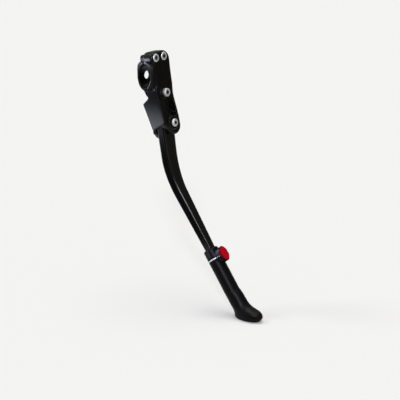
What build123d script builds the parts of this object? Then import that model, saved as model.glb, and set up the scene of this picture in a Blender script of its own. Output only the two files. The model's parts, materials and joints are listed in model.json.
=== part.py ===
from build123d import *
import os
from math import cos, radians, sin, tan

# Bicycle kickstand that clamps on the left rear stay. Millimetres and degrees.
# +X points away from the wheel, +Y to the rear along the stay, +Z up. The origin is the clamp's centre.

# Clamp on the stay
HEAD_LEAN = 8.5
STAY_WIDTH = 18.0
STAY_HEIGHT = 29.0
JAW_WALL = 3.2
SHOULDER = 6.5
FRONT_CORNER = 8.0
SHOULDER_LEVEL = 10.5
FRONT_LEVEL = 8.5
JAW_LENGTH = 30.0
SPLIT_GAP = 1.4
WINDOW_DIAMETER = 10.0
EAR_THICKNESS = 5.3
EAR_EDGE = 4.0
EAR_LENGTH = 26.0
EAR_ROUND = 4.0
TAB_RADIUS = 5.6
TAB_SPACING = 10.0
JAW_EDGE = 0.8
FRONT_EDGE = 1.0

# Face plate of the bracket
FRONT_JAW = 6.0
FACE_SWELL = 1.3
FACE_KNEE = 4.0
FAR_REACH = 2.4
TOP_WALL = 1.7
TOP_ROUND = 8.0
FAR_TOP_ROUND = 11.0
FACE_ROUND = 3.0
LIP_STAND = 2.5
SCOOP = 5.0
SCOOP_ROUND = 4.0

# Pivot lugs and stop wall
HINGE_OUT = 9.5
HINGE_DROP = 58.3
FRONT_LUG = 7.8
BACK_LUG = 5.2
LUG_RADIUS = 10.8
LUG_SHIFT = 2.6
LUG_BELOW_HINGE = 3.8
BACK_LUG_DROP = 6.0
CHIN_SLOPE = 49.5
LUG_FLARE = 0.5
STOP_BACK = 8.6
STOP_SLOPE = 36.5
STOP_LENGTH = 39.0
STOP_INSET = 1.6
STOP_CORNER = 1.5
STOP_EDGE = 0.8
BOSS_RADIUS = 8.0
BOSS_STAND = 1.2

# Pockets cast in the face below the lower screw
POCKET_DEPTH = 3.0
POCKET_RADIUS = 16.5
POCKET_SIDE = 5.0
RIB = 1.2
GROOVE_DEPTH = 2.4
GROOVE_SHIFT = 4.4

# Clamp screws, M6 with socket heads
SCREW_RADIUS = 3.0
SCREW_CLEARANCE = 0.2
THREAD_FIT = 0.05
SCREW_HEAD_RADIUS = 5.0
SCREW_HEAD_HEIGHT = 6.0
SCREW_HEAD_BEVEL = 0.6
HEAD_CLEARANCE = 0.3
SOCKET_WIDTH = 5.0
SOCKET_DEPTH = 3.2
SCREW_EDGE = 0.5
SCREW_SPACING = 14.2
UPPER_HEAD_PROUD = 0.5
LOWER_HEAD_PROUD = 4.3
SCREW_TIP = 0.8

# Pivot bolt and its nut
PIVOT_RADIUS = 4.0
PIVOT_FIT = 0.05
BOLT_HEAD_RADIUS = 4.8
BOLT_HEAD_HEIGHT = 2.6
BOLT_SOCKET = 4.0
BOLT_CROWN = 2.4
NUT_WIDTH = 10.0
NUT_HEIGHT = 5.0
NUT_SEAT_SHARE = 0.65
NUT_BEVEL = 30.0

# Detent above the leg's eye
PLUNGER_RADIUS = 3.25
PLUNGER_LENGTH = 9.0
PLUNGER_FIT = 0.08
PLUNGER_LIFT = 0.3
NOTCH_DEPTH = 1.5
NOTCH_RADIUS = 3.6
DETENT_SPRING_LENGTH = 9.5
DETENT_SPRING_TURNS = 5
DETENT_WIRE = 0.45

# Leg
LEG_LEAN = 9.5
LEG_SPREAD = 37.0
EYE_RADIUS = 10.7
EYE_THICKNESS = 12.4
EYE_CLEARANCE = 0.3
EYE_EDGE = 1.0
UPPER_STRAIGHT = 38.0
BEND_RADIUS = 110.0
LOWER_STRAIGHT = 74.7
BEND_THICKNESS = 13.6
SHOULDER_WIDTH = 19.4
BEND_WIDTH = 15.8
TAPER_WIDTH = 14.4
INNER_ROUND = 4.6
OUTER_ROUND = 2.8
NECK_WIDTH = 9.8
NECK_GAP = 0.4
BAR_WIDTH = 9.0
BAR_ROUND = 1.6
BAR_LENGTH = 72.0
STEP_PITCH = 10.0
STEP_COUNT = 5
STEP_HEIGHT = 2.0
STEP_DEPTH = 1.2

# Foot sleeve and its collar
SLEEVE_RADIUS = 9.3
COLLAR_HEIGHT = 12.6
COLLAR_BEVEL = 1.4
SLOT_HEIGHT = 1.6
BAR_CLEARANCE = 0.3
SLEEVE_BOTTOM = 4.0
SOLE_REACH = 94.5
SOLE_HEIGHT = 5.0
SOLE_ROUND = 1.6
SOLE_WIDTH = 22.0
SOLE_HEEL = 17.0
SOLE_TOE = 22.4
TREAD_WIDTH = 19.6
TREAD_HEEL = 16.6
TREAD_TOE = 18.4
FOOT_START = 46.5
ANKLE_HEEL = 23.8
ANKLE_TOE = (-12.8, 33.5)
ANKLE_WIDTH = 18.8
INSTEP_HEEL = 18.2
INSTEP_TOE = (-5.3, 25.7)
INSTEP_WIDTH = 19.0
ARCH_HEEL = 14.2
ARCH_TOE = (2.7, 17.4)
ARCH_WIDTH = 19.6
TOE_HEEL = 10.0
TOE_TIP = (16.4, 12.2)
TOE_WIDTH = 21.0

# Button, lock plate and springs
BOSS_HEIGHT = 19.0
BOSS_WIDTH = 13.8
BOSS_REACH = 17.4
BOSS_WALL = 0.9
BUTTON_GAP = 0.25
BUTTON_PROUD = 1.5
BUTTON_DOME = 1.2
BUTTON_DEPTH = 5.8
BUTTON_TRAVEL = 1.5
BUTTON_NICK = 0.7
FLOOR_GAP = 0.4
PLATE_THICKNESS = 1.4
PLATE_INSET = 0.6
TOOTH_GAP = 0.3
TOOTH_BAR = 1.6
RAIL = 1.1
TONGUE_WIDTH = 6.0
TONGUE_BITE = 1.6
SPRING_RADIUS = 1.8
SPRING_WIRE = 0.25
SPRING_TURNS = 4
SPRING_ROOM = 0.3
SPRING_SPACING = 8.6
SPRING_BITE = 0.5
SPRING_FLOOR = 1.1
COLLAR_SCREW_RADIUS = 0.8
COLLAR_SCREW_HEAD = 1.3
COLLAR_SCREW_SPACING = 13.2
COLLAR_SCREW_BITE = 9.0
COLLAR_SCREW_SINK = 1.2


def side(x, z, lean):
    """Upright plane seen from the front of the bicycle: local x outwards and local y up, turned by lean."""
    out = (cos(radians(lean)), 0, sin(radians(lean)))
    return Plane(origin=(x, 0, z), x_dir=out, z_dir=(0, -1, 0))


def facing_out(plane, out, up):
    """Plane across an upright plane's outward axis: local x to the rear, local y up."""
    return Plane(origin=plane.from_local_coords((out, up, 0)), x_dir=(0, 1, 0), z_dir=plane.x_dir)


def leg_plane(run):
    """Plane across the leg at a distance along it from the pivot, facing down the leg: local x outwards."""
    bend = BEND_RADIUS * radians(LEG_SPREAD - LEG_LEAN)
    first = min(run, UPPER_STRAIGHT)
    turn = min(max(run - UPPER_STRAIGHT, 0), bend) / BEND_RADIUS
    last = max(run - UPPER_STRAIGHT - bend, 0)
    start = radians(LEG_LEAN)
    lean = start + turn
    x = hinge.X + first * sin(start) + BEND_RADIUS * (cos(start) - cos(lean)) + last * sin(lean)
    z = hinge.Z - first * cos(start) - BEND_RADIUS * (sin(lean) - sin(start)) - last * cos(lean)
    return Plane(origin=(x, 0, z), x_dir=(cos(lean), 0, sin(lean)), z_dir=(sin(lean), 0, -cos(lean)))


# Levels in the head, from the clamp's centre
STAY = side(0, 0, 0)
HEAD = side(0, 0, HEAD_LEAN)
half = JAW_LENGTH / 2
half_gap = SPLIT_GAP / 2
jaw_top = STAY_HEIGHT / 2 + JAW_WALL
screw_hole = SCREW_RADIUS + SCREW_CLEARANCE
head_hole = SCREW_HEAD_RADIUS + HEAD_CLEARANCE
upper_screw = jaw_top + SCREW_EDGE + screw_hole
lower_screw = -upper_screw
head_top = upper_screw + head_hole + TOP_WALL
eye_gap = EYE_THICKNESS / 2 + EYE_CLEARANCE
face_top = STAY_WIDTH / 2 + FRONT_JAW
face_screw = face_top + FACE_SWELL
face_knee = face_screw + FACE_KNEE
face_pivot = HINGE_OUT + eye_gap + FRONT_LUG
lug_back = HINGE_OUT - eye_gap - BACK_LUG
stop_face = EYE_RADIUS + EYE_CLEARANCE
lug_level = -HINGE_DROP - LUG_BELOW_HINGE
body_end = lug_level - LUG_RADIUS - FACE_ROUND
far_side = half + FAR_REACH

# Pivot: local x of HINGE to the rear, local y up, normal outwards along the bolt
hinge = HEAD.from_local_coords((HINGE_OUT, -HINGE_DROP, 0))
HINGE_SIDE = side(hinge.X, hinge.Z, LEG_LEAN)
HINGE = facing_out(HINGE_SIDE, 0, 0)
hinge_axis = Axis(hinge, HINGE.z_dir)
boss_top = eye_gap + FRONT_LUG + BOSS_STAND
nut_seat = -eye_gap - BACK_LUG

# Detent levels, up from the pivot
notch_centre = EYE_RADIUS + NOTCH_RADIUS - NOTCH_DEPTH
plunger_tip = EYE_RADIUS + PLUNGER_LIFT
plunger_back = plunger_tip + PLUNGER_LENGTH
detent_end = plunger_back + DETENT_SPRING_LENGTH

# Runs along the leg from the pivot, and levels down the sleeve from the collar's top
bend_length = BEND_RADIUS * radians(LEG_SPREAD - LEG_LEAN)
bend_end = UPPER_STRAIGHT + bend_length
collar_run = bend_end + LOWER_STRAIGHT
slot_middle = COLLAR_HEIGHT + SLOT_HEIGHT / 2
sleeve_top = COLLAR_HEIGHT + SLOT_HEIGHT
hole_width = BAR_WIDTH + 2 * BAR_CLEARANCE
hole_end = BAR_LENGTH + SLEEVE_BOTTOM

# Button axis: local x to the rear, local y up the sleeve, normal outwards
SLEEVE = leg_plane(collar_run)
BUTTON = Plane(leg_plane(collar_run + slot_middle).origin, x_dir=(0, 1, 0), z_dir=SLEEVE.x_dir)
button_face = BOSS_REACH + BUTTON_PROUD
button_back = button_face - BUTTON_DEPTH
boss_floor = button_back - BUTTON_TRAVEL - FLOOR_GAP
spring_seat = hole_width / 2 + SPRING_FLOOR
tooth = -BAR_WIDTH / 2 - TOOTH_GAP

# Sole level and the point where the sleeve's axis meets it
sole_point = leg_plane(collar_run + SOLE_REACH).origin


def lug_end(drop, near):
    """Low point of the chin, far end of the round lug and the chin's top at its near side, from the front."""
    slope = radians(CHIN_SLOPE)
    level = lug_level - drop
    low = (LUG_SHIFT - LUG_RADIUS * sin(slope), level - LUG_RADIUS * cos(slope))
    far = (LUG_SHIFT + LUG_RADIUS, level)
    chin = (-near, low[1] + (low[0] + near) * tan(slope))
    return low, far, chin


def clamp_screw(length):
    """Socket head screw along Z, its head above the seat at the origin."""
    with BuildPart() as screw:
        Cylinder(SCREW_HEAD_RADIUS, SCREW_HEAD_HEIGHT, align=(Align.CENTER, Align.CENTER, Align.MIN))
        chamfer(screw.edges().group_by(Axis.Z)[-1], SCREW_HEAD_BEVEL)
        Cylinder(SCREW_RADIUS, length, align=(Align.CENTER, Align.CENTER, Align.MAX))
        chamfer(screw.edges().group_by(Axis.Z)[0], SCREW_TIP)
        with BuildSketch(Plane.XY.offset(SCREW_HEAD_HEIGHT)):
            RegularPolygon(SOCKET_WIDTH / 2, 6, major_radius=False)
        extrude(amount=-SOCKET_DEPTH, mode=Mode.SUBTRACT)
    return screw.part


def coil_spring(radius, wire, length, turns):
    """Compression spring along Z that stands on the origin."""
    rise = length - 2 * wire
    with BuildPart() as spring:
        with BuildLine(Plane.XY.offset(wire)) as path:
            Helix(rise / turns, rise, radius - wire)
        with BuildSketch(Plane(path.line @ 0, z_dir=path.line % 0)):
            RegularPolygon(wire, 6)
        sweep(is_frenet=True)
    return spring.part


def leg_section(sketch, thickness, width):
    """Section of the leg in a sketch across it: well rounded towards the wheel, tighter corners outside."""
    Rectangle(thickness, width)
    fillet(sketch.vertices().group_by(Axis.X)[0], INNER_ROUND)
    fillet(sketch.vertices().group_by(Axis.X)[-1], OUTER_ROUND)


# Stop wall in front of the leg, cast with the bracket
with BuildPart() as stop_wall:
    stop_top = lower_screw - head_hole
    back_drop = (half_gap + STOP_BACK) * tan(radians(STOP_SLOPE))
    with BuildSketch(HEAD.offset(stop_face)):
        with BuildLine():
            FilletPolyline(
                (face_screw - FACE_ROUND, stop_top),
                (half_gap, stop_top),
                (-STOP_BACK, stop_top - back_drop),
                (half_gap + STOP_INSET, stop_top - STOP_LENGTH),
                (face_pivot - FACE_ROUND, -HINGE_DROP),
                radius=STOP_CORNER,
                close=True,
            )
        make_face()
    extrude(amount=half - stop_face)
    fillet(stop_wall.faces().sort_by(Axis.Y)[0].edges(), STOP_EDGE)


def jaw_ring(gap_face, outwards):
    """Half of the ring round the stay's opening, on one side of the gap, with rounded rims."""
    back = STAY_WIDTH / 2 + JAW_WALL - SHOULDER
    front = face_top - FRONT_EDGE - FRONT_CORNER
    with BuildPart() as ring:
        with BuildSketch(STAY) as outline:
            Ellipse(STAY_WIDTH / 2 + JAW_WALL, jaw_top)
            with Locations((-back, SHOULDER_LEVEL)):
                Circle(SHOULDER)
            with Locations((front, FRONT_LEVEL), (front, -FRONT_LEVEL)):
                Circle(FRONT_CORNER)
            make_hull(outline.edges())
        extrude(amount=half, both=True)
        fillet(ring.edges().filter_by(Axis.Y, reverse=True), JAW_EDGE)
        split(bisect_by=facing_out(HEAD, gap_face, 0), keep=Keep.TOP if outwards else Keep.BOTTOM)
    return ring.part


# Bracket: front jaw, face plate, stop wall and pivot lugs in one casting
with BuildPart() as bracket:
    with BuildSketch(HEAD):
        with BuildLine():
            face = Spline(
                (face_top, head_top),
                (face_top, 0),
                (face_screw, lower_screw),
                (face_knee, (lower_screw - HINGE_DROP) / 2),
                (face_pivot, -HINGE_DROP),
                (face_pivot + LUG_FLARE, body_end),
                tangents=((0, -1), (0, -1)),
            )
            Polyline(face @ 1, (half_gap, body_end), (half_gap, head_top), face @ 0)
        make_face()
    extrude(amount=far_side, both=True)
    low, far, chin = lug_end(0, half)
    waist = -half + LIP_STAND
    with BuildSketch(facing_out(HEAD, face_pivot + FACE_ROUND, 0)):
        with BuildLine():
            rim = FilletPolyline(
                far,
                (half, lower_screw - head_hole),
                (far_side, SCOOP - jaw_top),
                (far_side, head_top),
                (-half, head_top),
                (-half, jaw_top),
                (waist, jaw_top - SCOOP),
                (waist, SCOOP - jaw_top),
                (-half, -jaw_top),
                chin,
                low,
                radius=[TOP_ROUND, TOP_ROUND, FAR_TOP_ROUND, TOP_ROUND, *[SCOOP_ROUND] * 4, 2 * FACE_ROUND],
            )
            TangentArc(rim @ 1, rim @ 0, tangent=rim % 1)
        make_face()
    extrude(amount=-2 * face_pivot, mode=Mode.INTERSECT)
    fillet(bracket.faces().sort_by(Axis((0, 0, 0), HEAD.x_dir))[-1].edges(), FACE_ROUND)

    # Ring lip round the front half of the opening
    add(jaw_ring(half_gap, outwards=True))

    # Stop wall in front of the leg
    add(stop_wall.part)

    # Back lug, which hangs lower than the front one
    back_side = EYE_RADIUS - EYE_EDGE
    low, far, chin = lug_end(BACK_LUG_DROP, back_side)
    lug_roof = -HINGE_DROP + stop_face
    with BuildSketch(facing_out(HEAD, lug_back, 0)):
        with BuildLine():
            sides = Polyline(far, (far[0], lug_roof), (-back_side, lug_roof), chin, low)
            TangentArc(sides @ 1, sides @ 0, tangent=sides % 1)
        make_face()
    extrude(amount=BACK_LUG)

    # Boss round the pivot bolt's head
    with BuildSketch(HINGE.offset(eye_gap)):
        Circle(BOSS_RADIUS)
    extrude(amount=FRONT_LUG + BOSS_STAND)

    # Room for the leg's eye, open below and to the rear
    with BuildSketch(HINGE):
        Circle(stop_face)
        with Locations((-stop_face, 0)):
            Rectangle(4 * stop_face, 4 * stop_face, align=(Align.MIN, Align.MAX))
        Rectangle(4 * stop_face, stop_face, align=(Align.MIN, Align.MIN))
    extrude(amount=eye_gap, both=True, mode=Mode.SUBTRACT)

    # Opening for the stay
    with BuildSketch(STAY):
        Ellipse(STAY_WIDTH / 2, STAY_HEIGHT / 2)
    extrude(amount=far_side, both=True, mode=Mode.SUBTRACT)

    # Screw holes: the upper heads sink in, the lower head stands on a spot face
    upper_seat = face_top + UPPER_HEAD_PROUD - SCREW_HEAD_HEIGHT
    lower_seat = face_screw + LOWER_HEAD_PROUD - SCREW_HEAD_HEIGHT
    upper_holes = [(-SCREW_SPACING / 2, upper_screw), (SCREW_SPACING / 2, upper_screw)]
    with BuildSketch(facing_out(HEAD, 0, 0)):
        with Locations(*upper_holes, (0, lower_screw)):
            Circle(screw_hole)
    extrude(amount=face_pivot, mode=Mode.SUBTRACT)
    with BuildSketch(facing_out(HEAD, upper_seat, 0)):
        with Locations(*upper_holes):
            Circle(head_hole)
    extrude(amount=face_pivot, mode=Mode.SUBTRACT)
    with BuildSketch(facing_out(HEAD, lower_seat, lower_screw)):
        Circle(head_hole)
    extrude(amount=face_pivot, mode=Mode.SUBTRACT)

    # Pockets below the lower screw, parted by a thin curved rib
    pocket_top = lower_screw - head_hole - RIB
    pocket_centre = (half - POCKET_SIDE, pocket_top - RIB)
    groove_centre = (pocket_centre[0] - GROOVE_SHIFT, pocket_centre[1] - GROOVE_SHIFT)
    with BuildSketch(facing_out(HEAD, (face_screw + face_knee) / 2 - POCKET_DEPTH, 0)):
        with Locations(pocket_centre):
            Circle(POCKET_RADIUS)
        with Locations((half - POCKET_SIDE, pocket_top)):
            Rectangle(half * 2, half * 2, align=(Align.MAX, Align.MAX), mode=Mode.INTERSECT)
    extrude(amount=face_pivot, mode=Mode.SUBTRACT)
    with BuildSketch(facing_out(HEAD, face_knee - GROOVE_DEPTH, 0)):
        with Locations(groove_centre):
            Circle(POCKET_RADIUS)
        with Locations(pocket_centre):
            Circle(POCKET_RADIUS + RIB, mode=Mode.SUBTRACT)
        with Locations((half - POCKET_SIDE, pocket_top)):
            Rectangle(half * 2, half * 2, align=(Align.MAX, Align.MAX), mode=Mode.INTERSECT)
    extrude(amount=face_pivot, mode=Mode.SUBTRACT)

    # Flat seat for the pivot nut on the back lug
    with BuildSketch(HINGE.offset(nut_seat)):
        Circle(NUT_WIDTH * NUT_SEAT_SHARE)
    extrude(amount=nut_seat, mode=Mode.SUBTRACT)

    # Bores for the pivot bolt and the detent
    with BuildSketch(HINGE):
        Circle(PIVOT_RADIUS + PIVOT_FIT)
    extrude(amount=2 * boss_top, mode=Mode.SUBTRACT)
    with BuildSketch(HINGE):
        Circle(SCREW_RADIUS + THREAD_FIT)
    extrude(amount=nut_seat * 2, mode=Mode.SUBTRACT)
    with BuildSketch(Plane(hinge, x_dir=(0, 1, 0), z_dir=HINGE.y_dir)):
        Circle(PLUNGER_RADIUS + PLUNGER_FIT)
    extrude(amount=detent_end, mode=Mode.SUBTRACT)

# Clamp cap: the rear jaw with an ear above and below and a round window
with BuildPart() as clamp_cap:
    add(jaw_ring(-half_gap, outwards=False))
    ear_reach = upper_screw + EAR_EDGE
    ear_root = jaw_top - JAW_WALL / 2
    with BuildSketch(facing_out(HEAD, -half_gap, 0)):
        with Locations((0, ear_root)):
            RectangleRounded(EAR_LENGTH, 2 * (ear_reach - ear_root), EAR_ROUND)
            Rectangle(EAR_LENGTH, EAR_LENGTH, align=(Align.CENTER, Align.MIN), mode=Mode.INTERSECT)
    extrude(amount=-EAR_THICKNESS)
    with BuildSketch(facing_out(HEAD, -half_gap, 0)) as tab:
        with Locations((-TAB_SPACING / 2, lower_screw), (TAB_SPACING / 2, lower_screw)):
            Circle(TAB_RADIUS)
        with Locations((0, -ear_root)):
            Rectangle(EAR_LENGTH, JAW_WALL)
        make_hull(tab.edges())
    extrude(amount=-EAR_THICKNESS)
    with BuildSketch(STAY):
        Ellipse(STAY_WIDTH / 2, STAY_HEIGHT / 2)
    extrude(amount=far_side, both=True, mode=Mode.SUBTRACT)
    with BuildSketch(facing_out(HEAD, 0, 0)):
        with Locations(*upper_holes, (0, lower_screw)):
            Circle(SCREW_RADIUS + THREAD_FIT)
        Circle(WINDOW_DIAMETER / 2)
    extrude(amount=-2 * face_top, mode=Mode.SUBTRACT)

# Clamp screws
screw_end = -half_gap - EAR_THICKNESS - SCREW_TIP
with BuildPart() as upper_clamp_screws:
    with Locations(*[facing_out(HEAD, upper_seat, 0) * Location(hole) for hole in upper_holes]):
        add(clamp_screw(upper_seat - screw_end))

with BuildPart() as lower_clamp_screw:
    with Locations(facing_out(HEAD, lower_seat, lower_screw)):
        add(clamp_screw(lower_seat - screw_end))

# Leg: eye, straight shoulder, bend, taper and the square bar inside the sleeve
with BuildPart() as leg:
    with BuildSketch(HINGE):
        Circle(EYE_RADIUS)
    extrude(amount=EYE_THICKNESS / 2, both=True)
    chamfer(leg.edges().filter_by(GeomType.CIRCLE), EYE_EDGE)
    with BuildSketch(leg_plane(EYE_EDGE)) as section:
        leg_section(section, EYE_THICKNESS, 2 * EYE_RADIUS)
    with BuildSketch(leg_plane(UPPER_STRAIGHT)) as section:
        leg_section(section, EYE_THICKNESS, SHOULDER_WIDTH)
    loft(ruled=True)
    for run, thickness, width in (
        (UPPER_STRAIGHT, EYE_THICKNESS, SHOULDER_WIDTH),
        (UPPER_STRAIGHT + bend_length / 3, BEND_THICKNESS, (SHOULDER_WIDTH + BEND_WIDTH) / 2),
        (UPPER_STRAIGHT + bend_length * 2 / 3, BEND_THICKNESS, BEND_WIDTH),
        (bend_end, BEND_THICKNESS, TAPER_WIDTH),
    ):
        with BuildSketch(leg_plane(run)) as section:
            leg_section(section, thickness, width)
    loft()
    with BuildSketch(leg_plane(bend_end)) as section:
        leg_section(section, BEND_THICKNESS, TAPER_WIDTH)
    with BuildSketch(leg_plane(collar_run - NECK_GAP)):
        RectangleRounded(NECK_WIDTH, NECK_WIDTH, BAR_ROUND)
    loft(ruled=True)
    with BuildSketch(leg_plane(collar_run - NECK_GAP)):
        RectangleRounded(BAR_WIDTH, BAR_WIDTH, BAR_ROUND)
    extrude(amount=BAR_LENGTH + NECK_GAP)

    # Bore, detent notches for leg down and leg folded, and the length steps
    with BuildSketch(HINGE):
        Circle(PIVOT_RADIUS + PIVOT_FIT)
        with Locations((0, notch_centre), (notch_centre, 0)):
            Circle(NOTCH_RADIUS)
    extrude(amount=EYE_THICKNESS, both=True, mode=Mode.SUBTRACT)
    for step in range(STEP_COUNT):
        with BuildSketch(leg_plane(collar_run + slot_middle + step * STEP_PITCH - STEP_HEIGHT / 2)):
            with Locations((-BAR_WIDTH / 2 + STEP_DEPTH, 0)):
                Rectangle(BAR_WIDTH, 2 * BAR_WIDTH, align=(Align.MAX, Align.CENTER))
        extrude(amount=STEP_HEIGHT, mode=Mode.SUBTRACT)

# Pivot bolt: domed head, plain shoulder that the leg turns on, threaded end
with BuildPart() as pivot_bolt:
    with BuildSketch(HINGE_SIDE):
        with BuildLine():
            shank = Polyline(
                (nut_seat - NUT_HEIGHT - SCREW_TIP, 0),
                (nut_seat - NUT_HEIGHT - SCREW_TIP, SCREW_RADIUS),
                (-eye_gap, SCREW_RADIUS),
                (-eye_gap, PIVOT_RADIUS),
                (boss_top, PIVOT_RADIUS),
                (boss_top, BOLT_HEAD_RADIUS),
                (boss_top + BOLT_HEAD_HEIGHT / 3, BOLT_HEAD_RADIUS),
            )
            dome = TangentArc(
                shank @ 1, (boss_top + BOLT_HEAD_HEIGHT, BOLT_CROWN), tangent=(1, 0)
            )
            Polyline(dome @ 1, (boss_top + BOLT_HEAD_HEIGHT, 0), shank @ 0)
        make_face()
    revolve(axis=hinge_axis)
    with BuildSketch(HINGE.offset(boss_top + BOLT_HEAD_HEIGHT)):
        RegularPolygon(BOLT_SOCKET / 2, 6, major_radius=False)
    extrude(amount=-BOLT_HEAD_HEIGHT, mode=Mode.SUBTRACT)

NUT = Plane(HINGE.offset(nut_seat).origin, x_dir=(0, 1, 0), z_dir=-HINGE.z_dir)
with BuildPart() as pivot_nut:
    with BuildSketch(NUT):
        RegularPolygon(NUT_WIDTH / 2, 6, major_radius=False)
    extrude(amount=NUT_HEIGHT)
    with Locations(NUT):
        Cone(
            NUT_WIDTH / 2 + NUT_HEIGHT / tan(radians(NUT_BEVEL)),
            NUT_WIDTH / 2,
            NUT_HEIGHT,
            align=(Align.CENTER, Align.CENTER, Align.MIN),
            mode=Mode.INTERSECT,
        )
    with BuildSketch(NUT):
        Circle(SCREW_RADIUS + THREAD_FIT)
    extrude(amount=NUT_HEIGHT, mode=Mode.SUBTRACT)

# Detent plunger and its spring
DETENT = Plane(hinge, x_dir=(0, 1, 0), z_dir=HINGE.y_dir)
with BuildPart() as detent_plunger:
    with BuildSketch(HINGE):
        with BuildLine():
            tip = RadiusArc((0, plunger_tip), (PLUNGER_RADIUS, plunger_tip + PLUNGER_RADIUS), -PLUNGER_RADIUS)
            Polyline(tip @ 1, (PLUNGER_RADIUS, plunger_back), (0, plunger_back), tip @ 0)
        make_face()
    revolve(axis=Axis(hinge, HINGE.y_dir))

with BuildPart() as detent_spring:
    with Locations(DETENT.offset(plunger_back)):
        add(coil_spring(PLUNGER_RADIUS, DETENT_WIRE, DETENT_SPRING_LENGTH, DETENT_SPRING_TURNS))


def boss_half(below):
    """One half of the oval boss, cut at the slot; its cavity is cut later."""
    with BuildPart() as half_boss:
        with BuildSketch(BUTTON):
            Ellipse(BOSS_WIDTH / 2, BOSS_HEIGHT / 2)
            with Locations((0, -SLOT_HEIGHT / 2 if below else SLOT_HEIGHT / 2)):
                edge = Align.MAX if below else Align.MIN
                Rectangle(BOSS_WIDTH, BOSS_HEIGHT, align=(Align.CENTER, edge), mode=Mode.INTERSECT)
        extrude(amount=BOSS_REACH)
    return half_boss.part


def boss_rooms():
    """Button room and the two spring pockets behind it, for cutting."""
    with BuildPart() as rooms:
        with BuildSketch(BUTTON.offset(boss_floor)):
            Ellipse(BOSS_WIDTH / 2 - BOSS_WALL, BOSS_HEIGHT / 2 - BOSS_WALL)
        extrude(amount=BOSS_REACH)
        with BuildSketch(BUTTON.offset(spring_seat)):
            with GridLocations(0, SPRING_SPACING, 1, 2):
                Circle(SPRING_RADIUS + SPRING_ROOM)
        extrude(amount=BOSS_REACH)
    return rooms.part


rooms = boss_rooms()
screw_places = [(0, -COLLAR_SCREW_SPACING / 2), (0, COLLAR_SCREW_SPACING / 2)]

# Collar: upper half of the lock housing
with BuildPart() as lock_collar:
    with BuildSketch(SLEEVE):
        Circle(SLEEVE_RADIUS)
    extrude(amount=COLLAR_HEIGHT)
    chamfer(lock_collar.edges().group_by(Axis(SLEEVE.origin, SLEEVE.z_dir))[0], COLLAR_BEVEL)
    add(boss_half(below=False))
    add(rooms, mode=Mode.SUBTRACT)
    with BuildSketch(SLEEVE):
        Rectangle(hole_width, hole_width)
        with Locations(*screw_places):
            Circle(COLLAR_SCREW_RADIUS + THREAD_FIT)
    extrude(amount=sleeve_top, mode=Mode.SUBTRACT)
    with BuildSketch(SLEEVE):
        with Locations(*screw_places):
            Circle(COLLAR_SCREW_HEAD + THREAD_FIT)
    extrude(amount=COLLAR_SCREW_SINK + COLLAR_SCREW_HEAD, mode=Mode.SUBTRACT)


def foot_section(heel, toe, width):
    """Oval section of the foot between a heel point and a toe point of the side view."""
    spread = Vector(toe[0] - heel[0], 0, toe[1] - heel[1])
    middle = sole_point + Vector((heel[0] + toe[0]) / 2, 0, (heel[1] + toe[1]) / 2)
    return Plane(middle, x_dir=spread, z_dir=Vector(0, -1, 0).cross(spread)), spread.length / 2, width / 2


def heel_at(rise):
    """Point of the sleeve's lower edge at a height above the sole."""
    lean = radians(LEG_SPREAD)
    along = (rise + SLEEVE_RADIUS * sin(lean)) / cos(lean)
    return (-along * sin(lean) - SLEEVE_RADIUS * cos(lean), rise)


# Foot sleeve: tube, lower half of the boss and the shoe, in one moulding
with BuildPart() as foot_sleeve:
    with BuildSketch(SLEEVE.offset(sleeve_top)):
        Circle(SLEEVE_RADIUS)
    extrude(amount=SOLE_REACH - FOOT_START - sleeve_top)
    add(boss_half(below=True))
    with BuildSketch(SLEEVE.offset(SOLE_REACH - FOOT_START)):
        Circle(SLEEVE_RADIUS)
    sole = ((-SOLE_HEEL, SOLE_HEIGHT), (SOLE_TOE, SOLE_HEIGHT), SOLE_WIDTH)
    for heel, toe, width in (
        (heel_at(ANKLE_HEEL), ANKLE_TOE, ANKLE_WIDTH),
        (heel_at(INSTEP_HEEL), INSTEP_TOE, INSTEP_WIDTH),
        (heel_at(ARCH_HEEL), ARCH_TOE, ARCH_WIDTH),
        (heel_at(TOE_HEEL), TOE_TIP, TOE_WIDTH),
        sole,
    ):
        plane, reach, breadth = foot_section(heel, toe, width)
        with BuildSketch(plane):
            Ellipse(reach, breadth)
    loft()
    for heel, toe, width in (sole, ((-TREAD_HEEL, 0), (TREAD_TOE, 0), TREAD_WIDTH)):
        plane, reach, breadth = foot_section(heel, toe, width)
        with BuildSketch(plane):
            Ellipse(reach, breadth)
    loft(ruled=True)
    fillet(foot_sleeve.edges().sort_by(Axis.Z)[0], SOLE_ROUND)
    add(rooms, mode=Mode.SUBTRACT)
    with BuildSketch(SLEEVE):
        Rectangle(hole_width, hole_width)
    extrude(amount=hole_end, mode=Mode.SUBTRACT)
    with BuildSketch(SLEEVE):
        with Locations(*screw_places):
            Circle(COLLAR_SCREW_RADIUS + THREAD_FIT)
    extrude(amount=sleeve_top + COLLAR_SCREW_BITE, mode=Mode.SUBTRACT)

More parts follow.
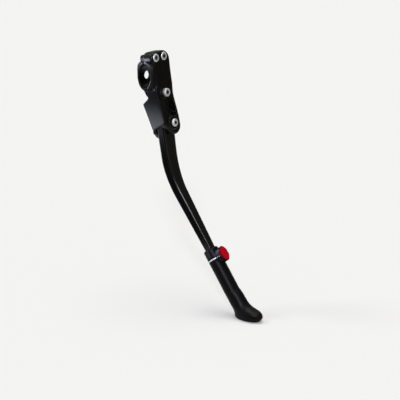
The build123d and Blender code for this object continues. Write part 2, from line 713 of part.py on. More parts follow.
# Lock plate: a steel slide with a window for the bar, one edge of which is the tooth
PLATE = SLEEVE.offset(slot_middle - PLATE_THICKNESS / 2)
with BuildPart() as lock_plate:
    with BuildSketch(PLATE):
        Circle(SLEEVE_RADIUS - PLATE_INSET)
        with Locations((tooth - TOOTH_BAR, 0)):
            Rectangle(BOSS_REACH * 2, 4 * SLEEVE_RADIUS, align=(Align.MIN, Align.CENTER), mode=Mode.INTERSECT)
        window_end = BAR_WIDTH / 2 + BUTTON_TRAVEL + TOOTH_GAP
        Rectangle(window_end + RAIL, BAR_WIDTH + 2 * (TOOTH_GAP + RAIL), align=(Align.MIN, Align.CENTER))
        Rectangle(button_back + TONGUE_BITE, TONGUE_WIDTH, align=(Align.MIN, Align.CENTER))
        with Locations((tooth, 0)):
            Rectangle(
                window_end - tooth,
                BAR_WIDTH + 2 * TOOTH_GAP,
                align=(Align.MIN, Align.CENTER),
                mode=Mode.SUBTRACT,
            )
        with Locations(*screw_places):
            SlotCenterToCenter(2 * BUTTON_TRAVEL, 2 * (COLLAR_SCREW_RADIUS + TOOTH_GAP), mode=Mode.SUBTRACT)
    extrude(amount=PLATE_THICKNESS)

# Release button
with BuildPart() as release_button:
    button_half_width = BOSS_WIDTH / 2 - BOSS_WALL - BUTTON_GAP
    button_half_height = BOSS_HEIGHT / 2 - BOSS_WALL - BUTTON_GAP
    with BuildSketch(BUTTON.offset(button_back)):
        Ellipse(button_half_width, button_half_height)
        with Locations((-button_half_width, 0), (button_half_width, 0)):
            Circle(BUTTON_NICK, mode=Mode.SUBTRACT)
    extrude(amount=BUTTON_DEPTH)
    fillet(release_button.faces().sort_by(Axis(BUTTON.origin, BUTTON.z_dir))[-1].edges(), BUTTON_DOME / 2)
    with BuildSketch(BUTTON.offset(button_back)):
        Rectangle(TONGUE_WIDTH + 2 * THREAD_FIT, PLATE_THICKNESS + 2 * THREAD_FIT)
    extrude(amount=TONGUE_BITE + THREAD_FIT, mode=Mode.SUBTRACT)
    with BuildSketch(BUTTON.offset(button_back)):
        with GridLocations(0, SPRING_SPACING, 1, 2):
            Circle(SPRING_RADIUS + SPRING_ROOM)
    extrude(amount=SPRING_BITE, mode=Mode.SUBTRACT)

# Springs under the button
with BuildPart() as button_springs:
    with Locations(*[BUTTON.offset(spring_seat) * Location((0, side_y)) for side_y in
                     (-SPRING_SPACING / 2, SPRING_SPACING / 2)]):
        add(coil_spring(SPRING_RADIUS, SPRING_WIRE, button_back + SPRING_BITE - spring_seat, SPRING_TURNS))

# Screws that hold the collar on the sleeve
with BuildPart() as collar_screws:
    with BuildSketch(SLEEVE.offset(COLLAR_SCREW_SINK)):
        with Locations(*screw_places):
            Circle(COLLAR_SCREW_HEAD)
    extrude(amount=COLLAR_SCREW_HEAD)
    with BuildSketch(SLEEVE.offset(COLLAR_SCREW_SINK)):
        with Locations(*screw_places):
            Circle(COLLAR_SCREW_RADIUS)
    extrude(amount=sleeve_top + COLLAR_SCREW_BITE - 2 * COLLAR_SCREW_SINK)

os.makedirs("parts", exist_ok=True)
pieces = {
    "bracket": bracket,
    "clamp_cap": clamp_cap,
    "upper_clamp_screws": upper_clamp_screws,
    "lower_clamp_screw": lower_clamp_screw,
    "leg": leg,
    "pivot_bolt": pivot_bolt,
    "pivot_nut": pivot_nut,
    "detent_plunger": detent_plunger,
    "detent_spring": detent_spring,
    "lock_collar": lock_collar,
    "foot_sleeve": foot_sleeve,
    "lock_plate": lock_plate,
    "release_button": release_button,
    "button_springs": button_springs,
    "collar_screws": collar_screws,
}
for name, piece in pieces.items():
    piece.part.label = name
    export_step(piece.part, f"parts/{name}.step")
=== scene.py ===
"""Looks of a clamp-on bicycle kickstand: its finishes, and the studio that it stands in."""

import json
from math import cos, radians, sin
from typing import NamedTuple

import bpy
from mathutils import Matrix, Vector

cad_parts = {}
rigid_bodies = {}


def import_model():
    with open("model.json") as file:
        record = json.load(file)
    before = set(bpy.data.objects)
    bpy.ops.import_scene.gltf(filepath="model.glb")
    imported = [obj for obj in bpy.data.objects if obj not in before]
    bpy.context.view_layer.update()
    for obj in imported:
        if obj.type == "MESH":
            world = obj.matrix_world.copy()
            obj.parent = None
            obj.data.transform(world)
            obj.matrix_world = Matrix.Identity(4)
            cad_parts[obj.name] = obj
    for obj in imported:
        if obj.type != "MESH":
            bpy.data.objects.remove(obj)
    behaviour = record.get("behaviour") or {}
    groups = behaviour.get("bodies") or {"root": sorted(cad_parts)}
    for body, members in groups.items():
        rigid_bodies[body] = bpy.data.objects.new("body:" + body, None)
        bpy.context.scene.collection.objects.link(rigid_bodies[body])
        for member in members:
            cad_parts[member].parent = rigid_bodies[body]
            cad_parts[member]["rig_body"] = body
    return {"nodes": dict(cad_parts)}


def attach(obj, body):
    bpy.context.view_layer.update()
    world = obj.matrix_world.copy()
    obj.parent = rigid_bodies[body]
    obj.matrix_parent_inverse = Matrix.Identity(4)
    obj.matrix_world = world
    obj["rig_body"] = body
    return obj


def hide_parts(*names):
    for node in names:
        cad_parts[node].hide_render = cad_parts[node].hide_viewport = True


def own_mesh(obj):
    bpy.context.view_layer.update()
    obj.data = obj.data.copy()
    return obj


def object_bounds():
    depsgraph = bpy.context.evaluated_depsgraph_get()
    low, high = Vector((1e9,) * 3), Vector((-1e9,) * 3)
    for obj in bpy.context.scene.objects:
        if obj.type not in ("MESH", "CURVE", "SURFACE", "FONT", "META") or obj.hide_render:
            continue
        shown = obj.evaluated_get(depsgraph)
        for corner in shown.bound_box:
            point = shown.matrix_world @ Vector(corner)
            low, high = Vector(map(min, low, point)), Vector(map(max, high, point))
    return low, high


bl_info = {
    "name": "Bicycle kickstand",
    "version": (1, 0, 0),
    "blender": (4, 5, 0),
    "location": "View3D > Sidebar > Kickstand",
    "description": "Dresses a clamp-on kickstand and sets up a plain studio around it",
    "category": "Object",
}

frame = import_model()
CAD_BOX = [list(corner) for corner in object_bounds()]
GROUND = CAD_BOX[0][2]
MILLIMETRE = 0.001

# Softening of the castings and of the sleeve: remesh size, rounds of smoothing, share of faces kept.
SKIN_VOXEL = 0.45 * MILLIMETRE
CAST_ROUNDS = 6
MOULD_ROUNDS = 2
FOOT_ROUNDS = 18
SOLE_ROUNDS = 40
FACES_KEPT = 0.4

# The foot's housing: its axes, and distances from the collar's top, along and across the leg.
COLLAR_TOP = Vector((89.88, 0, -201.44)) * MILLIMETRE
SLEEVE_DOWN = Vector((0.601815, 0, -0.798636))
SLEEVE_RADIUS = 9.3 * MILLIMETRE
BORE_REACH = 7.4 * MILLIMETRE
BOSS_END = 28 * MILLIMETRE
NECK_TOP = 46 * MILLIMETRE
NECK_BOTTOM = 60 * MILLIMETRE
SOLE_RIM = 4 * MILLIMETRE

# The stop wall's near face, which is glossier towards its lower end.
STOP_FACE = 15 * MILLIMETRE
STOP_MARGIN = (0.6 * MILLIMETRE, 0.2 * MILLIMETRE)
STOP_TOP = 27 * MILLIMETRE
STOP_BOTTOM = 74 * MILLIMETRE

# Where smooth steps begin and end: along sharp edges, in slow noise, and out of the shade painted in the
# screws' sockets.
EDGE_STEP = (0.02, 0.25)
CLOUD_STEP = (0.3, 0.7)
SOCKET_SHADE_STEP = (0.5, 0.85)
SOCKET_REACH = 4 * MILLIMETRE
DRAWN_OUT = (1, 1, 0.3)

FLOOR_SIDES = 96


class FarLamp(NamedTuple):
    """A lamp far away in a direction, as wide in the sky as its angle."""

    name: str
    towards: tuple
    angle: float
    power: float
    colour: tuple


class Card(NamedTuple):
    """A studio card that shows only in reflections: a bright one, or with no strength a black one."""

    name: str
    place: tuple
    aim: tuple
    size: tuple
    colour: tuple
    strength: float


BLACK = (0, 0, 0)
WHITE = (1, 1, 1)
DAYLIGHT = (0.94, 0.96, 1.0)
LAMPLIGHT = (1.0, 0.98, 0.95)

FAR_LAMPS = (
    FarLamp("key_lamp", (0.504, -0.667, 0.551), radians(5), 0.5, DAYLIGHT),
    FarLamp("edge_lamp", (-0.615, -0.27, 0.71), radians(12), 0.6, DAYLIGHT),
    FarLamp("top_lamp", (-0.1, 0.1, 1.0), radians(40), 1.8, LAMPLIGHT),
)

CARDS = (
    # The leg's near side.
    Card("leg_flag", (-0.097, -0.194, -0.217), (0.385, 0.380, 0.444), (0.34, 0.16), BLACK, 0),
    # The clamp's face plate and its top.
    Card("face_card", (0.32, 0.33, 0.06), (0.016, 0, 0.06), (0.5, 0.5), (1.0, 0.93, 0.80), 0.17),
    Card("back_card", (-0.92, 1.10, 0.46), (0, 0, 0.03), (2.4, 1.2), (1.0, 0.97, 0.93), 0.3),
    # The ring around the stay.
    Card("ring_flag", (-0.026, -0.06, -0.022), (0.011, -0.016, -0.0045), (0.055, 0.044), WHITE, 0.2),
    # The pieces' rounded near sides.
    Card("front_flag", (0.33, -0.40, -0.15), (0.03, 0, -0.05), (0.6, 0.3), BLACK, 0),
    # The stop wall, the rear jaw's ear, the button's boss.
    Card("wall_card", (-0.31, -0.38, -0.235), (0, -0.015, -0.05), (0.25, 0.06), (0.44, 0.52, 1.0), 1.5),
    Card(
        "ear_card", (-0.0266, -0.0458, 0.0135), (-0.002, -0.0165, 0.0252), (0.010, 0.016),
        (0.75, 0.80, 1.0), 30,
    ),
    Card("boss_card", (-1.004, -0.458, -0.051), (0.1, -0.01, -0.2), (0.36, 0.3), (0.80, 0.84, 1.0), 40),
    Card(
        "flank_card", (0.0900, -0.0213, -0.2061), (0.1066, -0.0067, -0.2029), (0.012, 0.012),
        (0.64, 0.70, 1.0), 7,
    ),
    # The bracket's edges.
    Card("rim_flag", (-0.015, -0.283, 0.189), (0.02, -0.012, -0.03), (0.2, 0.2), BLACK, 0),
    Card("strip_flag", (0.344, -0.117, 0.071), (0.022, -0.012, -0.02), (0.24, 0.24), BLACK, 0),
    Card("corner_flag", (0.078, -0.095, 0.011), (0.018, -0.015, -0.055), (0.08, 0.08), BLACK, 0),
    # The line along the leg's edge.
    Card("edge_card", (0.464, -0.5406, 0.2984), (0.06, -0.007, -0.14), (0.35, 0.35), (0.85, 0.90, 1.0), 16),
)


class KickstandFinish(bpy.types.PropertyGroup):
    """Colours and grain of the kickstand's surfaces."""

    coat_colour: bpy.props.FloatVectorProperty(
        name="Coat", description="Black coat of the castings", subtype="COLOR", size=3,
        min=0, max=1, default=(0.0026, 0.0025, 0.0022),
    )
    leg_colour: bpy.props.FloatVectorProperty(
        name="Leg", description="Black coat of the leg", subtype="COLOR", size=3,
        min=0, max=1, default=(0.0040, 0.0038, 0.0034),
    )
    plastic_colour: bpy.props.FloatVectorProperty(
        name="Plastic", description="Black plastic of the foot", subtype="COLOR", size=3,
        min=0, max=1, default=(0.0036, 0.0027, 0.0032),
    )
    button_colour: bpy.props.FloatVectorProperty(
        name="Button", description="Red plastic of the button", subtype="COLOR", size=3,
        min=0, max=1, default=(0.50, 0.0025, 0.012),
    )
    zinc_colour: bpy.props.FloatVectorProperty(
        name="Zinc", description="Plating of the screws", subtype="COLOR", size=3,
        min=0, max=1, default=(0.64, 0.64, 0.635),
    )
    steel_colour: bpy.props.FloatVectorProperty(
        name="Steel", description="Bright steel of the lock plate and springs", subtype="COLOR",
        size=3, min=0, max=1, default=(0.86, 0.87, 0.87),
    )
    edge_round: bpy.props.FloatProperty(
        name="Edge round", description="Radius that a coat or moulding gives to sharp edges",
        unit="LENGTH", min=0, default=0.5 * MILLIMETRE,
    )
    grain_size: bpy.props.FloatProperty(
        name="Grain", description="Size of the coat's fine grain", unit="LENGTH",
        min=0.05 * MILLIMETRE, default=0.6 * MILLIMETRE,
    )
    ripple_size: bpy.props.FloatProperty(
        name="Ripple", description="Size of the slow ripples in a coat", unit="LENGTH",
        min=MILLIMETRE, default=7 * MILLIMETRE,
    )


class KickstandStage(bpy.types.PropertyGroup):
    """Camera, floor and room."""

    azimuth: bpy.props.FloatProperty(
        name="Azimuth", description="Camera's turn from the view along +Y", unit="ROTATION",
        default=radians(40),
    )
    elevation: bpy.props.FloatProperty(
        name="Elevation", description="Camera's height above the horizon", unit="ROTATION",
        default=radians(17),
    )
    distance: bpy.props.FloatProperty(
        name="Distance", description="Camera's distance from its aim", unit="LENGTH", default=2.0,
    )
    aim: bpy.props.FloatVectorProperty(
        name="Aim", description="Point in the middle of the picture", subtype="TRANSLATION", size=3,
        default=(0.07153, 0.00259, -0.1439),
    )
    lens: bpy.props.FloatProperty(
        name="Lens", description="Focal length in millimetres", min=10, default=150,
    )
    floor_radius: bpy.props.FloatProperty(
        name="Floor", description="Radius of the floor", unit="LENGTH", default=14.0,
    )
    floor_tone: bpy.props.FloatProperty(
        name="Floor tone", description="How pale the floor is", subtype="FACTOR",
        min=0, max=1, default=0.857,
    )
    backdrop_tone: bpy.props.FloatProperty(
        name="Backdrop tone", description="How pale the room is where it is seen", subtype="FACTOR",
        min=0, max=1, default=0.896,
    )
    room_tone: bpy.props.FloatProperty(
        name="Room tone", description="Even light from the room", subtype="FACTOR",
        min=0, max=1, default=0.30,
    )
    shadow_share: bpy.props.FloatProperty(
        name="Shadow share", description="Share of the floor's tone that a shadow can take away",
        subtype="FACTOR", min=0, max=1, default=0.7,
    )


class Value:
    """A shader socket that Python expressions can be written with."""

    def __init__(self, nodes, socket):
        self.nodes = nodes
        self.socket = socket

    def maths(self, operation, *terms):
        return self.nodes.add("ShaderNodeMath", {"operation": operation}, dict(enumerate(terms)))

    def __add__(self, other):
        return self.maths("ADD", self, other)

    def __sub__(self, other):
        return self.maths("SUBTRACT", self, other)

    def __mul__(self, other):
        return self.maths("MULTIPLY", self, other)

    def __rsub__(self, other):
        return self.maths("SUBTRACT", other, self)

    __radd__ = __add__
    __rmul__ = __mul__

    def above(self, low, high):
        """0 below low, 1 above high, with a smooth step between."""
        return self.nodes.add(
            "ShaderNodeMapRange",
            {"interpolation_type": "SMOOTHSTEP"},
            {"Value": self, "From Min": low, "From Max": high},
        )


class NodeTree:
    """Adds nodes to one shader tree."""

    def __init__(self, tree):
        self.tree = tree

    def add(self, kind, settings, sockets, output=0):
        """One node: its type, its settings, and the values or links of its sockets."""
        node = self.tree.nodes.new(kind)
        for name, setting in settings.items():
            setattr(node, name, setting)
        for name, value in sockets.items():
            self.feed(node.inputs[name], value)
        return Value(self, node.outputs[output])

    def feed(self, socket, value):
        """A link from a value, or a number or colour set on the socket."""
        if isinstance(value, Value):
            self.tree.links.new(value.socket, socket)
        elif hasattr(value, "__len__") and socket.type == "RGBA" and len(value) == 3:
            socket.default_value = (*value, 1)
        else:
            socket.default_value = value

    def seen(self):
        """1 for what is seen directly, mirrored or through something clear, 0 for light on surfaces."""
        camera, glossy, through = (
            self.add("ShaderNodeLightPath", {}, {}, kind)
            for kind in ("Is Camera Ray", "Is Glossy Ray", "Is Transmission Ray")
        )
        return camera + glossy + through


class StageCoat(NodeTree):
    """A material of the stage, made of bare shaders."""

    def __init__(self, name):
        self.material = bpy.data.materials.new(name)
        self.material.use_nodes = True
        super().__init__(self.material.node_tree)
        self.tree.nodes.remove(self.tree.nodes["Principled BSDF"])

    def glow(self, colour, strength):
        return self.add("ShaderNodeEmission", {}, {"Color": colour, "Strength": strength})

    def cover(self, board, surface):
        """Puts a shader on a thing of the stage."""
        self.feed(self.tree.nodes["Material Output"].inputs["Surface"], surface)
        board.data.materials.append(self.material)


class Finish(NodeTree):
    """A procedural material on one Principled shader."""

    def __init__(self, name, slot, **constants):
        self.material = bpy.data.materials.new(name)
        self.material.use_nodes = True
        super().__init__(self.material.node_tree)
        self.slot = slot
        self.shader = self.tree.nodes["Principled BSDF"]
        self.place = self.add("ShaderNodeTexCoord", {}, {}, "Object")
        self.set(**constants)

    def set(self, **sockets):
        """Feeds the shader, with underscores for the spaces in its sockets' names."""
        for name, value in sockets.items():
            label = name.replace("_", " ").title().replace("Ior", "IOR")
            self.feed(self.shader.inputs[label], value)

    def noise(self, size, detail=2, stretch=None):
        """Soft noise from 0 to 1 whose features are about as large as size."""
        place = self.place
        if stretch:
            place = self.add("ShaderNodeMapping", {}, {"Vector": place, "Scale": stretch})
        sockets = {"Vector": place, "Scale": 1 / size, "Detail": detail}
        return self.add("ShaderNodeTexNoise", {}, sockets)

    def mix(self, share, first, second):
        """Colour between first and second."""
        first_colour, second_colour, mixed_colour = 6, 7, 2
        return self.add(
            "ShaderNodeMix",
            {"data_type": "RGBA"},
            {"Factor": share, first_colour: first, second_colour: second},
            mixed_colour,
        )

    def rounded(self, radius):
        """Normal with sharp edges rounded off."""
        return self.add("ShaderNodeBevel", {"samples": 6}, {"Radius": radius})

    def shelter(self, reach):
        """1 in the open, towards 0 in holes and corners within reach."""
        return self.add("ShaderNodeAmbientOcclusion", {"samples": 8}, {"Distance": reach}, "AO")

    def edge(self, rounded):
        """1 along sharp edges, 0 on plain faces."""
        flat = self.add("ShaderNodeNewGeometry", {}, {}, "Normal")
        along = self.add(
            "ShaderNodeVectorMath", {"operation": "DOT_PRODUCT"}, {0: rounded, 1: flat}, "Value"
        )
        return (1 - along).above(*EDGE_STEP)

    def bump(self, height, depth, normal):
        """Normal with a relief of that depth."""
        sockets = {"Height": height, "Distance": depth, "Strength": 1.0, "Normal": normal}
        return self.add("ShaderNodeBump", {}, sockets)

    def dress(self, *nodes):
        """Puts this finish on CAD nodes."""
        for name in nodes:
            self.paint(frame["nodes"][name])

    def paint(self, piece):
        """Puts this finish on one piece, in place of what it had."""
        piece.data.materials.clear()
        piece.data.materials.append(self.material)


def toned(colour, share):
    """A colour at a share of its strength."""
    return tuple(part * share for part in colour)


def coated_casting(settings):
    """Satin black coat on a casting: slow ripples, fine grain, edges worn a little smoother, and a painted
    highlight that makes the edges paler.
    """
    finish = Finish("coated_casting", "black_casting", specular_ior_level=0.14)
    coat = settings.coat_colour
    rounded = finish.rounded(settings.edge_round)
    edge = finish.edge(rounded)
    grain = finish.noise(settings.grain_size, detail=3)
    ripple = finish.noise(settings.ripple_size)
    colour = finish.mix(ripple.above(*CLOUD_STEP), toned(coat, 0.85), coat)
    across, height = (
        finish.add("ShaderNodeSeparateXYZ", {}, {0: finish.place}, axis) for axis in "YZ"
    )
    near = (0 - across).above(*(STOP_FACE - margin for margin in STOP_MARGIN))
    below = (0 - height).above(STOP_TOP, STOP_BOTTOM)
    finish.set(
        # Painted highlight: along sharp edges the coat is drawn up to 2.6 times paler.
        base_color=finish.mix(edge * 0.6, colour, toned(coat, 2.6)),
        coat_weight=near * below,
        coat_roughness=0.3,
        coat_ior=2.0,
        roughness=0.20 + 0.06 * grain + 0.05 * ripple - 0.04 * edge,
        normal=finish.bump(grain, depth=0.004 * MILLIMETRE, normal=rounded),
    )
    return finish


def coated_leg(settings):
    """Smoother black coat on the leg, with faint marks along it."""
    finish = Finish("coated_leg", "black_leg", specular_ior_level=0.28)
    coat = settings.leg_colour
    rounded = finish.rounded(settings.edge_round)
    grain = finish.noise(settings.grain_size)
    ripple = finish.noise(settings.ripple_size, stretch=DRAWN_OUT)
    finish.set(
        base_color=finish.mix(ripple.above(*CLOUD_STEP), toned(coat, 0.8), coat),
        roughness=0.15 + 0.03 * grain + 0.03 * ripple,
        normal=finish.bump(grain, depth=0.001 * MILLIMETRE, normal=rounded),
    )
    return finish


def moulded_plastic(settings):
    """Black plastic with a fine moulded texture, paler in random patches, and with a painted highlight
    along its edges.
    """
    finish = Finish("moulded_plastic", "black_plastic", specular_ior_level=0.07)
    plastic = settings.plastic_colour
    rounded = finish.rounded(settings.edge_round)
    edge = finish.edge(rounded)
    grain = finish.noise(settings.grain_size / 2, detail=3)
    cloud = finish.noise(settings.ripple_size, detail=3)
    # Random paler patches, and a painted highlight that makes sharp edges paler.
    tone_and_edge_highlight = cloud.above(*CLOUD_STEP) * 0.6 + edge * 0.4
    finish.set(
        base_color=finish.mix(tone_and_edge_highlight, toned(plastic, 0.85), toned(plastic, 1.2)),
        roughness=0.31 + 0.06 * grain + 0.05 * cloud,
        normal=finish.bump(grain, depth=0.003 * MILLIMETRE, normal=rounded),
    )
    return finish


def glossy_red(settings):
    """Red plastic of the button, glossy with a faint unevenness."""
    finish = Finish("glossy_red", "red_plastic", specular_ior_level=0.03)
    red = settings.button_colour
    rounded = finish.rounded(settings.edge_round)
    cloud = finish.noise(settings.ripple_size / 2)
    finish.set(
        base_color=finish.mix(cloud, toned(red, 0.9), red),
        roughness=0.24 + 0.08 * cloud,
        normal=finish.bump(cloud, depth=0.01 * MILLIMETRE, normal=rounded),
    )
    return finish


def plated_zinc(settings):
    """Zinc plating on the screws: soft bright metal with fine specks, and painted shade that makes it dark
    inside the sockets and corners.
    """
    finish = Finish("plated_zinc", "zinc_screw", metallic=0.55)
    zinc = settings.zinc_colour
    rounded = finish.rounded(settings.edge_round / 2)
    grain = finish.noise(settings.grain_size / 2, detail=3)
    cloud = finish.noise(settings.ripple_size / 3)
    # Painted shade: ambient occlusion darkens the plating to a twentieth of its tone in sockets and
    # corners.
    out_of_painted_shade = finish.shelter(SOCKET_REACH).above(*SOCKET_SHADE_STEP)
    plating = finish.mix(cloud, toned(zinc, 0.86), zinc)
    finish.set(
        base_color=finish.mix(out_of_painted_shade, toned(zinc, 0.05), plating),
        roughness=0.34 + 0.12 * grain + 0.08 * cloud,
        normal=finish.bump(grain, depth=0.006 * MILLIMETRE, normal=rounded),
    )
    return finish


def bright_steel(settings):
    """Bright rolled steel of the lock plate, the springs, the plunger and the collar's screws."""
    finish = Finish("bright_steel", "bright_steel", metallic=0.35)
    steel = settings.steel_colour
    rounded = finish.rounded(settings.edge_round / 4)
    grain = finish.noise(settings.grain_size / 3)
    cloud = finish.noise(settings.ripple_size / 3)
    finish.set(
        base_color=finish.mix(cloud, toned(steel, 0.9), steel),
        roughness=0.42 + 0.12 * grain,
        normal=finish.bump(grain, depth=0.004 * MILLIMETRE, normal=rounded),
    )
    return finish


def softened(name, node, finish, rounds, mend=None):
    """Stands in for a CAD node with its copy, edges rounded as a casting's or a moulding's are."""
    source = frame["nodes"][node]
    piece = bpy.data.objects.new(name, source.data.copy())
    bpy.context.scene.collection.objects.link(piece)
    skin = piece.modifiers.new("skin", "REMESH")
    skin.mode = "VOXEL"
    skin.voxel_size = SKIN_VOXEL
    apply_modifiers(piece)
    if mend:
        mend(piece)
    flow = piece.modifiers.new("flow", "SMOOTH")
    flow.factor = 0.5
    flow.iterations = rounds
    thin = piece.modifiers.new("thin", "DECIMATE")
    thin.ratio = FACES_KEPT
    apply_modifiers(piece)
    piece.data.shade_smooth()
    finish.paint(piece)
    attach(piece, source["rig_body"])
    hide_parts(node)


def down_the_sleeve(point):
    """A point's distance from the collar's top along the leg."""
    return (point - COLLAR_TOP).dot(SLEEVE_DOWN)


def mend_sleeve(piece):
    """Fills the hollow where the tube runs into the foot, and rounds the foot and the sole's rim."""
    vertices = piece.data.vertices
    for vertex in vertices:
        along = down_the_sleeve(vertex.co)
        spoke = vertex.co - COLLAR_TOP - along * SLEEVE_DOWN
        if NECK_TOP < along < NECK_BOTTOM and BORE_REACH < spoke.length < SLEEVE_RADIUS:
            vertex.co += (SLEEVE_RADIUS - spoke.length) * spoke.normalized()
    foot = [vertex.index for vertex in vertices if down_the_sleeve(vertex.co) > BOSS_END]
    sole = [vertex.index for vertex in vertices if vertex.co.z < GROUND + SOLE_RIM]
    for name, part, rounds in (("foot", foot, FOOT_ROUNDS), ("sole", sole, SOLE_ROUNDS)):
        piece.vertex_groups.new(name=name).add(part, 1, "REPLACE")
        flow = piece.modifiers.new(name, "SMOOTH")
        flow.vertex_group = name
        flow.iterations = rounds


def apply_modifiers(piece):
    """Turns a piece's modifiers into its mesh."""
    shaped = piece.evaluated_get(bpy.context.evaluated_depsgraph_get())
    piece.data = bpy.data.meshes.new_from_object(shaped)
    piece.modifiers.clear()


class KICKSTAND_OT_castings(bpy.types.Operator):
    """Finishes the clamp's bracket and cap."""

    bl_idname = "kickstand.castings"
    bl_label = "Clamp castings"

    def execute(self, context):
        finish = coated_casting(context.scene.kickstand_finish)
        softened("bracket_casting", "bracket", finish, CAST_ROUNDS)
        softened("cap_casting", "clamp_cap", finish, CAST_ROUNDS)
        return {"FINISHED"}


class KICKSTAND_OT_screws(bpy.types.Operator):
    """Finishes the clamp screws, the pivot bolt and its nut."""

    bl_idname = "kickstand.screws"
    bl_label = "Screws"

    def execute(self, context):
        finish = plated_zinc(context.scene.kickstand_finish)
        finish.dress("upper_clamp_screws", "lower_clamp_screw", "pivot_bolt", "pivot_nut")
        return {"FINISHED"}


class KICKSTAND_OT_leg(bpy.types.Operator):
    """Finishes the leg."""

    bl_idname = "kickstand.leg"
    bl_label = "Leg"

    def execute(self, context):
        coated_leg(context.scene.kickstand_finish).dress("leg")
        return {"FINISHED"}


class KICKSTAND_OT_foot(bpy.types.Operator):
    """Finishes the foot's sleeve and collar."""

    bl_idname = "kickstand.foot"
    bl_label = "Foot"

    def execute(self, context):
        finish = moulded_plastic(context.scene.kickstand_finish)
        finish.dress("lock_collar")
        softened("sleeve_moulding", "foot_sleeve", finish, MOULD_ROUNDS, mend_sleeve)
        return {"FINISHED"}


class KICKSTAND_OT_button(bpy.types.Operator):
    """Finishes the release button."""

    bl_idname = "kickstand.button"
    bl_label = "Button"

    def execute(self, context):
        glossy_red(context.scene.kickstand_finish).dress("release_button")
        return {"FINISHED"}


class KICKSTAND_OT_steel(bpy.types.Operator):
    """Finishes the lock plate, the springs, the plunger and the collar's screws."""

    bl_idname = "kickstand.steel"
    bl_label = "Steel pieces"

    def execute(self, context):
        finish = bright_steel(context.scene.kickstand_finish)
        finish.dress("lock_plate", "detent_spring", "detent_plunger", "collar_screws")
        self.coils(finish)
        return {"FINISHED"}

    def coils(self, finish):
        """The springs under the button, which shorten as it is pressed."""
        source = frame["nodes"]["button_springs"]
        coils = bpy.data.objects.new("button_coils", source.data.copy())
        bpy.context.scene.collection.objects.link(coils)
        finish.paint(coils)
        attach(coils, "foot")
        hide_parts("button_springs")
        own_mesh(coils)


def facing(place, aim, front):
    """Turn that points a thing's front from its place to its aim."""
    return (Vector(aim) - Vector(place)).to_track_quat(front, "Y").to_euler()


def hang(lamp):
    """Hangs a far lamp, which lights everything evenly."""
    data = bpy.data.lights.new(lamp.name, "SUN")
    data.angle = lamp.angle
    data.energy = lamp.power
    data.color = lamp.colour
    sun = bpy.data.objects.new(lamp.name, data)
    sun.location = lamp.towards
    sun.rotation_euler = facing(lamp.towards, (0, 0, 0), "-Z")
    sun.visible_camera = False
    bpy.context.scene.collection.objects.link(sun)


def set_up(card):
    """Sets up a studio card."""
    bpy.ops.mesh.primitive_plane_add(size=1, location=card.place)
    board = bpy.context.object
    board.name = card.name
    board.scale = (*card.size, 1)
    board.rotation_euler = facing(card.place, card.aim, "Z")
    for kind in ("camera", "diffuse", "shadow", "transmission", "volume_scatter"):
        setattr(board, "visible_" + kind, False)
    coat = StageCoat(card.name)
    coat.cover(board, coat.glow(card.colour, card.strength))


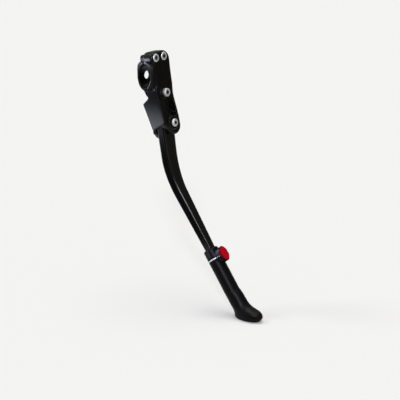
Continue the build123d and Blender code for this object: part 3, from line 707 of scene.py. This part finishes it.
class KICKSTAND_OT_stage(bpy.types.Operator):
    """Sets up the floor, the backdrop, the lamps and the camera."""

    bl_idname = "kickstand.stage"
    bl_label = "Stage"

    def execute(self, context):
        stage = context.scene.kickstand_stage
        self.floor(stage)
        self.room(context.scene, stage)
        for lamp in FAR_LAMPS:
            hang(lamp)
        for card in CARDS:
            set_up(card)
        self.camera(context.scene, stage)
        context.scene.view_settings.view_transform = "Standard"
        return {"FINISHED"}

    def floor(self, stage):
        """Pale floor that keeps the object's shadow."""
        bpy.ops.mesh.primitive_circle_add(
            vertices=FLOOR_SIDES, radius=stage.floor_radius, fill_type="NGON", location=(0, 0, GROUND)
        )
        floor = bpy.context.object
        floor.name = "floor"
        coat = StageCoat("pale_floor")
        tone = (stage.floor_tone,) * 3
        paint = coat.add("ShaderNodeBsdfDiffuse", {}, {"Color": tone})
        glow = coat.glow(tone, 1.0)
        share = coat.seen() * (1 - stage.shadow_share)
        coat.cover(floor, coat.add("ShaderNodeMixShader", {}, {"Fac": share, 1: paint, 2: glow}))

    def room(self, scene, stage):
        """Even light, and a paler backdrop where the room is seen."""
        world = bpy.data.worlds.new("room")
        world.use_nodes = True
        scene.world = world
        nodes = NodeTree(world.node_tree)
        tone = stage.room_tone + nodes.seen() * (stage.backdrop_tone - stage.room_tone)
        nodes.feed(nodes.tree.nodes["Background"].inputs["Color"], tone)

    def camera(self, scene, stage):
        """Camera at the photograph's viewing angle."""
        data = bpy.data.cameras.new("camera")
        data.lens = stage.lens
        camera = bpy.data.objects.new("camera", data)
        level = cos(stage.elevation)
        away = Vector(
            (sin(stage.azimuth) * level, -cos(stage.azimuth) * level, sin(stage.elevation))
        )
        camera.location = Vector(stage.aim) + stage.distance * away
        camera.rotation_euler = (-away).to_track_quat("-Z", "Y").to_euler()
        scene.collection.objects.link(camera)
        scene.camera = camera


STEPS = (
    KICKSTAND_OT_castings,
    KICKSTAND_OT_screws,
    KICKSTAND_OT_leg,
    KICKSTAND_OT_foot,
    KICKSTAND_OT_button,
    KICKSTAND_OT_steel,
    KICKSTAND_OT_stage,
)


class KICKSTAND_PT_panel(bpy.types.Panel):
    """Lists the settings and the steps."""

    bl_idname = "KICKSTAND_PT_panel"
    bl_label = "Kickstand"
    bl_space_type = "VIEW_3D"
    bl_region_type = "UI"
    bl_category = "Kickstand"

    def draw(self, context):
        for settings in (context.scene.kickstand_finish, context.scene.kickstand_stage):
            for name in settings.__annotations__:
                self.layout.prop(settings, name)
        for step in STEPS:
            self.layout.operator(step.bl_idname)


CLASSES = (KickstandFinish, KickstandStage, *STEPS, KICKSTAND_PT_panel)


def register():
    for cls in CLASSES:
        bpy.utils.register_class(cls)
    bpy.types.Scene.kickstand_finish = bpy.props.PointerProperty(type=KickstandFinish)
    bpy.types.Scene.kickstand_stage = bpy.props.PointerProperty(type=KickstandStage)


def unregister():
    del bpy.types.Scene.kickstand_stage
    del bpy.types.Scene.kickstand_finish
    for cls in reversed(CLASSES):
        bpy.utils.unregister_class(cls)


def main():
    register()
    for step in STEPS:
        getattr(bpy.ops.kickstand, step.bl_idname.split(".")[1])()


if __name__ == "__main__":
    main()
